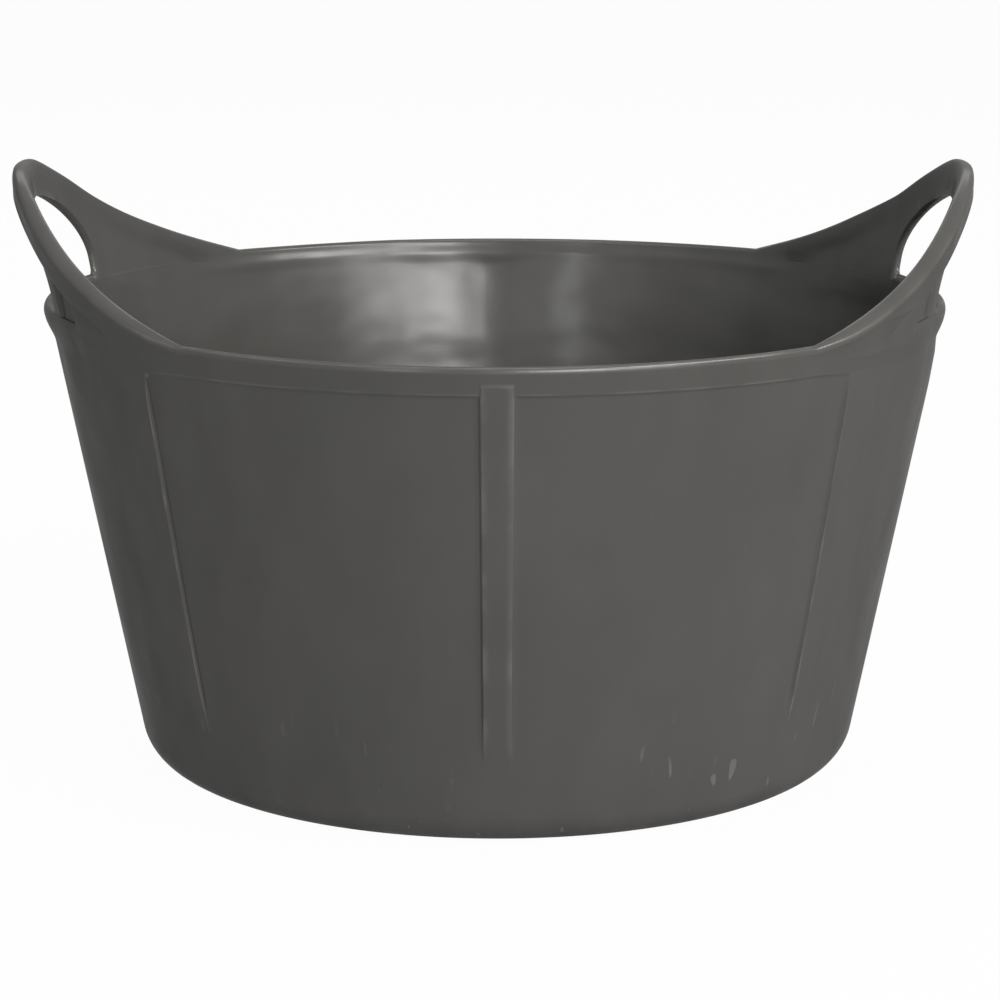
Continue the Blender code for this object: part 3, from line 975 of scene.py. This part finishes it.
def hole_outline(grow):
    """Outline of the hand hole in (arc length, height), grown outwards by the given distance."""
    widest = ear_top(0.0) - HOLE_MIDDLE_DROP
    up = ear_top(0.0) - HEAD_HEIGHT - HOLE_MARGIN - widest
    down = widest - (LIP_TOP - LIP_INNER_ROUND)
    points = []
    for i in range(HOLE_POINTS):
        t = 2 * math.pi * i / HOLE_POINTS
        power = HOLE_TOP_POWER if math.sin(t) >= 0 else HOLE_BOTTOM_POWER
        along = signed_power(math.cos(t), power) * HOLE_HALF_LENGTH
        across = signed_power(math.sin(t), power)
        points.append((along, widest + across * (up if across > 0 else down)))
    grown = []
    for i, (s, z) in enumerate(points):
        s0, z0 = points[i - 1]
        s1, z1 = points[(i + 1) % HOLE_POINTS]
        normal = Vector((z1 - z0, s0 - s1)).normalized()
        # Little rounding at the top of the arch, where the head takes over, and on the lip
        beside = HOLE_HALF_LENGTH * HOLE_SIDE_SHARE + abs(s) - HOLE_SIDE_START
        share = smooth_step(beside / HOLE_SIDE_FADE)
        if z > widest:
            share *= smooth_step((widest + up * HOLE_ARCH_TOP - z) / (up * HOLE_ARCH_FADE))
        else:
            share *= smooth_step((z - LIP_TOP + HOLE_FOOT_LOW) / HOLE_FOOT_FADE)
        grown.append((s + normal.x * grow * share, z + normal.y * grow * share))
    return grown


def hole_rings():
    """Rings of the cutter as (offset, growth), from inside the ear to outside it.

    The hole's edges are rounded on both faces.
    """
    inner = -WALL - WEB_IN
    outer = LEG_PROUD
    far, near, growth = CUTTER_IN
    rings = [(inner - far, growth), (inner - near, growth)]
    for t in map(math.radians, HOLE_TURN):
        offset = inner + HOLE_ROUND_IN * (1 - math.sin(t))
        rings.append((offset, HOLE_SPREAD_IN * (1 - math.cos(t))))
    for t in map(math.radians, reversed(HOLE_TURN)):
        offset = outer - HOLE_ROUND_OUT * (1 - math.sin(t))
        rings.append((offset, HOLE_ROUND_OUT * (1 - math.cos(t))))
    near, far, growth = CUTTER_OUT
    return rings + [(outer + near, growth), (outer + far, growth)]


def make_hole_cutter(side):
    middle = 90.0 * side
    radius = cone(HOLE_LEVEL) - WALL / 2
    bm = bmesh.new()
    grid = []
    for offset, growth in hole_rings():
        ring = []
        for s, z in hole_outline(growth):
            place = point(middle + math.degrees(s / radius), cone(z) + offset, z)
            ring.append(bm.verts.new(place))
        grid.append(ring)
    for low, high in zip(grid, grid[1:]):
        for i in range(HOLE_POINTS):
            j = (i + 1) % HOLE_POINTS
            bm.faces.new((low[i], low[j], high[j], high[i]))
    bm.faces.new(reversed(grid[0]))
    bm.faces.new(grid[-1])
    bmesh.ops.triangulate(bm, faces=[f for f in bm.faces if len(f.verts) > 4])
    return finish_mesh("hand_hole_cutter", bm)


def make_ear(name, side):
    ear = ear_loft(name, side)
    cutter = make_hole_cutter(side)
    cut = ear.modifiers.new("hand_hole", "BOOLEAN")
    cut.operation = "DIFFERENCE"
    cut.solver = "EXACT"
    cut.object = cutter
    depsgraph = bpy.context.evaluated_depsgraph_get()
    mesh = bpy.data.meshes.new_from_object(ear.evaluated_get(depsgraph))
    ear.modifiers.clear()
    old = ear.data
    ear.data = mesh
    bpy.data.meshes.remove(old)
    bpy.data.objects.remove(cutter)
    mesh.name = name
    mesh.shade_smooth()
    mesh.set_sharp_from_angle(angle=math.radians(SHARP_ANGLE))
    return ear


# ---- Material ----


def noise(tree, place, settings, stretch=None):
    if stretch is not None:
        mapping = tree.nodes.new("ShaderNodeMapping")
        mapping.inputs["Scale"].default_value = stretch
        tree.links.new(place, mapping.inputs["Vector"])
        place = mapping.outputs["Vector"]
    node = tree.nodes.new("ShaderNodeTexNoise")
    for name, value in zip(("Scale", "Detail", "Roughness"), settings):
        node.inputs[name].default_value = value
    tree.links.new(place, node.inputs["Vector"])
    return node.outputs["Fac"]


def height(tree, place):
    node = tree.nodes.new("ShaderNodeSeparateXYZ")
    tree.links.new(place, node.inputs[0])
    return node.outputs["Z"]


def ramp(tree, value, limits):
    """0 at the first limit, 1 at the second."""
    node = tree.nodes.new("ShaderNodeMapRange")
    node.interpolation_type = "SMOOTHSTEP"
    node.inputs["From Min"].default_value, node.inputs["From Max"].default_value = limits
    tree.links.new(value, node.inputs["Value"])
    return node.outputs["Result"]


def maths(tree, operation, *values):
    node = tree.nodes.new("ShaderNodeMath")
    node.operation = operation
    for value, socket in zip(values, node.inputs):
        if isinstance(value, float):
            socket.default_value = value
        else:
            tree.links.new(value, socket)
    return node.outputs[0]


def colour_mix(tree, share, *colours):
    node = tree.nodes.new("ShaderNodeMix")
    node.data_type = "RGBA"
    tree.links.new(share, node.inputs["Factor"])
    for colour, socket in zip(colours, (node.inputs[6], node.inputs[7])):
        if isinstance(colour, tuple):
            socket.default_value = colour + (1.0,)
        else:
            tree.links.new(colour, socket)
    return node.outputs[2]


def bump(tree, value, settings, below=None):
    node = tree.nodes.new("ShaderNodeBump")
    node.inputs["Strength"].default_value, node.inputs["Distance"].default_value = settings
    tree.links.new(value, node.inputs["Height"])
    if below is not None:
        tree.links.new(below, node.inputs["Normal"])
    return node.outputs["Normal"]


def worn_and_highlit_edges(tree, place):
    """Pale convex edges in patches, partly rubbed wear and partly a painted highlight, but not
    along the line inside the wall where an ear begins.
    """
    pointed = tree.nodes.new("ShaderNodeNewGeometry").outputs["Pointiness"]
    level = height(tree, place)
    below = ramp(tree, level, SEAM_BELOW)
    above = ramp(tree, level, SEAM_ABOVE)
    off_seam = maths(tree, "MAXIMUM", below, above)
    edges = maths(tree, "MULTIPLY", ramp(tree, pointed, EDGE_RANGE), off_seam)
    patches = ramp(tree, noise(tree, place, PATCHES), PATCH_RANGE)
    return maths(tree, "MULTIPLY", edges, maths(tree, "MULTIPLY_ADD", patches, *PATCH_WEAR_AND_HIGHLIGHT))


def scuff_marks(tree, place):
    """Scuffs, most of them low down, and a few scratches there."""
    low_down = ramp(tree, height(tree, place), LOW_RANGE)
    scuffs = ramp(tree, noise(tree, place, SCUFFS, SCUFFS_STRETCH), SCUFF_RANGE)
    scuffs = maths(tree, "MULTIPLY", scuffs, maths(tree, "MULTIPLY_ADD", low_down, *LOW_SCUFFS))
    scratches = ramp(tree, noise(tree, place, SCRATCHES, SCRATCHES_STRETCH), SCRATCH_RANGE)
    return maths(tree, "MAXIMUM", scuffs, maths(tree, "MULTIPLY", scratches, low_down))


def plastic(name):
    """Soft dark polyethylene: cloudy colour, uneven gloss, grain, slow waves, scuffs, and pale
    edges that are partly wear and partly a painted highlight.
    """
    made = bpy.data.materials.new(name)
    made.use_nodes = True
    tree = made.node_tree
    shader = tree.nodes["Principled BSDF"]
    shader.inputs["Specular IOR Level"].default_value = SPECULAR_LEVEL
    shader.inputs["Coat IOR"].default_value = COAT_IOR
    shader.inputs["Coat Roughness"].default_value = COAT_ROUGHNESS
    place = tree.nodes.new("ShaderNodeTexCoord").outputs["Object"]
    # Convex edges turn pale in patches: rubbed wear, and a painted highlight on the bead and the
    # other edges
    edge_wear_and_highlight = maths(tree, "MULTIPLY", worn_and_highlit_edges(tree, place), EDGE_SHARE)
    scuffed = scuff_marks(tree, place)

    colour = colour_mix(tree, noise(tree, place, CLOUDS), BODY_DARK, BODY_PALE)
    colour = colour_mix(tree, edge_wear_and_highlight, colour, WEAR_AND_HIGHLIGHT_COLOUR)
    scuff_share = maths(tree, "MULTIPLY", scuffed, SCUFF_SHARE)
    colour = colour_mix(tree, scuff_share, colour, SCUFF_COLOUR)

    rubbed = noise(tree, place, RUBBED, RUBBED_STRETCH)
    rough = maths(tree, "MULTIPLY_ADD", rubbed, *ROUGHNESS)
    rough = maths(tree, "MULTIPLY_ADD", scuffed, SCUFF_ROUGHNESS, rough)
    film = maths(tree, "MULTIPLY_ADD", rubbed, *FILM)
    film = maths(tree, "MULTIPLY_ADD", scuffed, SCUFF_FILM, film)
    # The fine texture hides the gloss of a wall that is seen almost edge on
    facing = tree.nodes.new("ShaderNodeLayerWeight").outputs["Facing"]
    grazing = ramp(tree, facing, GRAZING_RANGE)
    film = maths(tree, "MULTIPLY", film, maths(tree, "MULTIPLY_ADD", grazing, *GRAZING_FILM))

    surface = bump(tree, noise(tree, place, WAVES, WAVES_STRETCH), WAVES_BUMP)
    surface = bump(tree, noise(tree, place, GRAIN), GRAIN_BUMP, surface)
    surface = bump(tree, scuffed, SCUFF_BUMP, surface)

    tree.links.new(colour, shader.inputs["Base Color"])
    tree.links.new(rough, shader.inputs["Roughness"])
    tree.links.new(film, shader.inputs["Coat Weight"])
    tree.links.new(surface, shader.inputs["Normal"])
    tree.links.new(surface, shader.inputs["Coat Normal"])
    return made


# ---- Scene ----


def seen_ray(tree):
    """1 for the rays by which the backdrop is seen: straight, in a gloss or through a piece."""
    path = tree.nodes.new("ShaderNodeLightPath").outputs
    seen = maths(tree, "MAXIMUM", path["Is Camera Ray"], path["Is Glossy Ray"])
    return maths(tree, "MAXIMUM", seen, path["Is Transmission Ray"])


def shader_mix(tree, share, unseen, seen):
    """The one shader where the share is 0, the other where it is 1."""
    blend = tree.nodes.new("ShaderNodeMixShader")
    tree.links.new(share, blend.inputs[0])
    tree.links.new(unseen.outputs[0], blend.inputs[1])
    tree.links.new(seen.outputs[0], blend.inputs[2])
    return blend.outputs[0]


def make_floor():
    bm = bmesh.new()
    bmesh.ops.create_grid(bm, x_segments=1, y_segments=1, size=FLOOR_HALF_SIZE)
    mesh = bpy.data.meshes.new("ground")
    bm.to_mesh(mesh)
    bm.free()
    ground = bpy.data.objects.new("ground", mesh)
    ground.location.z = -FLOOR_GAP
    bpy.context.scene.collection.objects.link(ground)
    made = bpy.data.materials.new("ground")
    made.use_nodes = True
    tree = made.node_tree
    tree.nodes.clear()
    output = tree.nodes.new("ShaderNodeOutputMaterial")
    lit = tree.nodes.new("ShaderNodeBsdfDiffuse")
    lit.inputs["Color"].default_value = (FLOOR_GREY, FLOOR_GREY, FLOOR_GREY, 1.0)
    pale = tree.nodes.new("ShaderNodeEmission")
    pale.inputs["Strength"].default_value = 1.0
    share = maths(tree, "MULTIPLY", seen_ray(tree), FLOOR_WHITE)
    tree.links.new(shader_mix(tree, share, lit, pale), output.inputs["Surface"])
    ground.data.materials.append(made)


def make_world():
    world = bpy.data.worlds.new("studio")
    bpy.context.scene.world = world
    world.use_nodes = True
    tree = world.node_tree
    tree.nodes.clear()
    output = tree.nodes.new("ShaderNodeOutputWorld")
    shades = []
    for strength in (WORLD_LIGHT, 1.0):
        shade = tree.nodes.new("ShaderNodeBackground")
        shade.inputs["Color"].default_value = (1, 1, 1, 1)
        shade.inputs["Strength"].default_value = strength
        shades.append(shade)
    tree.links.new(shader_mix(tree, seen_ray(tree), *shades), output.inputs["Surface"])


def add_lamp(name, azimuth, elevation, distance, width, height, radiance, colour):
    """Soft light that faces the bucket's middle and isn't seen itself."""
    data = bpy.data.lights.new(name, "AREA")
    data.shape = "RECTANGLE"
    data.size = width
    data.size_y = height
    data.energy = radiance * math.pi * width * height
    data.color = colour
    lamp = bpy.data.objects.new(name, data)
    bpy.context.scene.collection.objects.link(lamp)
    side, up = math.radians(azimuth), math.radians(elevation)
    level = math.cos(up)
    back = Vector((math.sin(side) * level, -math.cos(side) * level, math.sin(up)))
    lamp.location = Vector(LAMP_AIM) + back * distance
    lamp.rotation_euler = (-back).to_track_quat("-Z", "Y").to_euler()
    lamp.visible_camera = False


def make_camera():
    data = bpy.data.cameras.new("camera")
    data.sensor_width = CAMERA_SENSOR
    data.lens = CAMERA_LENS
    data.shift_x = CAMERA_SHIFT
    camera = bpy.data.objects.new("camera", data)
    camera.location = CAMERA_PLACE
    camera.rotation_euler = (math.radians(CAMERA_TILT), 0.0, 0.0)
    bpy.context.scene.collection.objects.link(camera)
    bpy.context.scene.camera = camera


bpy.context.scene.view_settings.view_transform = "Standard"

tub = make_tub()
ear_right = make_ear("ear_right", 1)
ear_left = make_ear("ear_left", -1)
skin = plastic("moulded_plastic")
for piece in (tub, ear_right, ear_left):
    piece.data.materials.clear()
    piece.data.materials.append(skin)

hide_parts("floor", "wall", "rim")
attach(tub, "tub")
for word, side, ear in (("right", 1, ear_right), ("left", -1, ear_left)):
    names = ("handle", "shoulder_front", "shoulder_back")
    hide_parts(*[word + "_" + end for end in names])
    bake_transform(ear)

make_floor()
make_world()
for lamp in LAMPS:
    add_lamp(*lamp)
make_camera()
